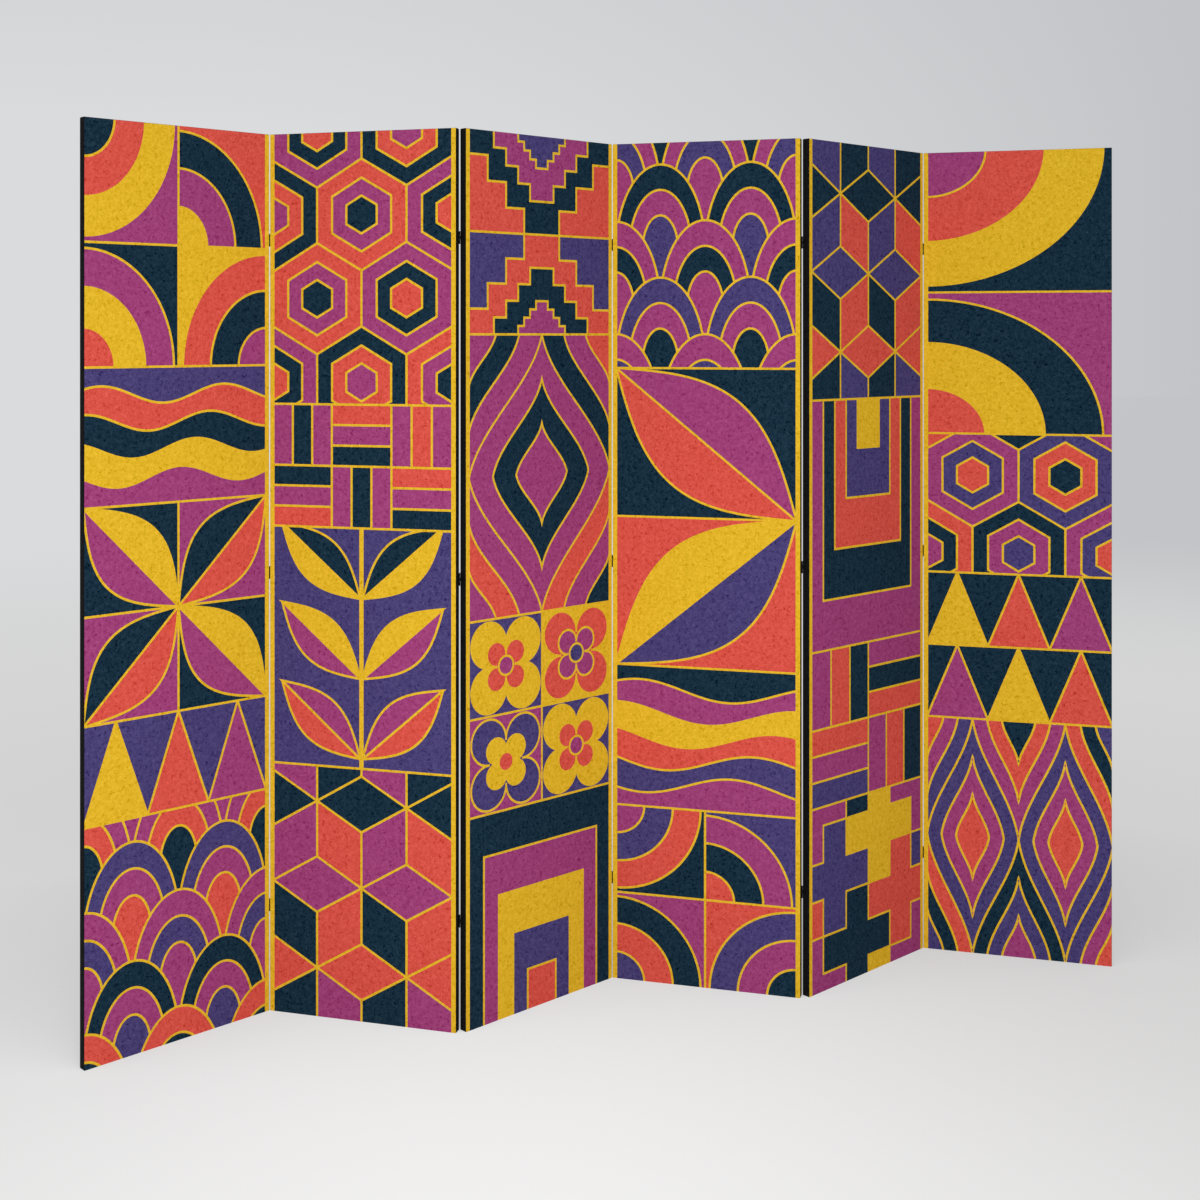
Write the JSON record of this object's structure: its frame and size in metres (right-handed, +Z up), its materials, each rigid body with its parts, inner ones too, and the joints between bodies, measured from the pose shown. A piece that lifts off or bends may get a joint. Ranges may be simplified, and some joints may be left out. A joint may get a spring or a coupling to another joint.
{
  "type": "room divider",
  "caption": "Folding room divider of tall stretched-canvas panels on hidden wooden frames, joined by small steel hinges and standing in a zigzag.",
  "frame": {"origin": "on the floor, below the middle of the screen's outline as it stands folded in its zigzag", "axes": "+X along the row of panels from panel 1 to panel 6, -Y towards the printed side, +Z up"},
  "size_m": [2.149, 0.2148, 1.775],
  "materials": {
    "printed_canvas": "matt woven canvas with a printed front and black edges",
    "black_cloth": "matt black non-woven cloth",
    "pine": "planed, unfinished",
    "hinge_steel": "black, satin",
    "pin_steel": "blackened"
  },
  "bodies": {
    "panel_1": {"panel_1_left_stile": "pine", "panel_1_right_stile": "pine", "panel_1_top_rail": "pine", "panel_1_middle_rail": "pine", "panel_1_bottom_rail": "pine", "panel_1_canvas": "printed_canvas", "panel_1_backing": "black_cloth", "seam_1_2_left_leaves": "hinge_steel", "seam_1_2_pins": "pin_steel"},
    "panel_2": {"panel_2_left_stile": "pine", "panel_2_right_stile": "pine", "panel_2_top_rail": "pine", "panel_2_middle_rail": "pine", "panel_2_bottom_rail": "pine", "panel_2_canvas": "printed_canvas", "panel_2_backing": "black_cloth", "seam_1_2_right_leaves": "hinge_steel", "seam_2_3_left_leaves": "hinge_steel", "seam_2_3_pins": "pin_steel"},
    "panel_3": {"panel_3_left_stile": "pine", "panel_3_right_stile": "pine", "panel_3_top_rail": "pine", "panel_3_middle_rail": "pine", "panel_3_bottom_rail": "pine", "panel_3_canvas": "printed_canvas", "panel_3_backing": "black_cloth", "seam_2_3_right_leaves": "hinge_steel", "seam_3_4_left_leaves": "hinge_steel", "seam_3_4_pins": "pin_steel"},
    "panel_4": {"panel_4_left_stile": "pine", "panel_4_right_stile": "pine", "panel_4_top_rail": "pine", "panel_4_middle_rail": "pine", "panel_4_bottom_rail": "pine", "panel_4_canvas": "printed_canvas", "panel_4_backing": "black_cloth", "seam_3_4_right_leaves": "hinge_steel", "seam_4_5_left_leaves": "hinge_steel", "seam_4_5_pins": "pin_steel"},
    "panel_5": {"panel_5_left_stile": "pine", "panel_5_right_stile": "pine", "panel_5_top_rail": "pine", "panel_5_middle_rail": "pine", "panel_5_bottom_rail": "pine", "panel_5_canvas": "printed_canvas", "panel_5_backing": "black_cloth", "seam_4_5_right_leaves": "hinge_steel", "seam_5_6_left_leaves": "hinge_steel", "seam_5_6_pins": "pin_steel"},
    "panel_6": {"panel_6_left_stile": "pine", "panel_6_right_stile": "pine", "panel_6_top_rail": "pine", "panel_6_middle_rail": "pine", "panel_6_bottom_rail": "pine", "panel_6_canvas": "printed_canvas", "panel_6_backing": "black_cloth", "seam_5_6_right_leaves": "hinge_steel"}
  },
  "joints": [
    {"name": "seam_2_3_fold", "type": "hinge", "parent": "panel_3", "child": "panel_2", "pos_m": [-0.35873, -0.09272, 0], "axis": [0, 0, -1], "range_deg": [-60, 120]},
    {"name": "seam_1_2_fold", "type": "hinge", "parent": "panel_2", "child": "panel_1", "pos_m": [-0.71746, 0.09315, 0], "axis": [0, 0, 1], "range_deg": [-60, 120]},
    {"name": "seam_3_4_fold", "type": "hinge", "parent": "panel_3", "child": "panel_4", "pos_m": [0, 0.09315, 0], "axis": [0, 0, -1], "range_deg": [-60, 120]},
    {"name": "seam_4_5_fold", "type": "hinge", "parent": "panel_4", "child": "panel_5", "pos_m": [0.35873, -0.09272, 0], "axis": [0, 0, 1], "range_deg": [-60, 120]},
    {"name": "seam_5_6_fold", "type": "hinge", "parent": "panel_5", "child": "panel_6", "pos_m": [0.71746, 0.09315, 0], "axis": [0, 0, -1], "range_deg": [-60, 120]}
  ]
}
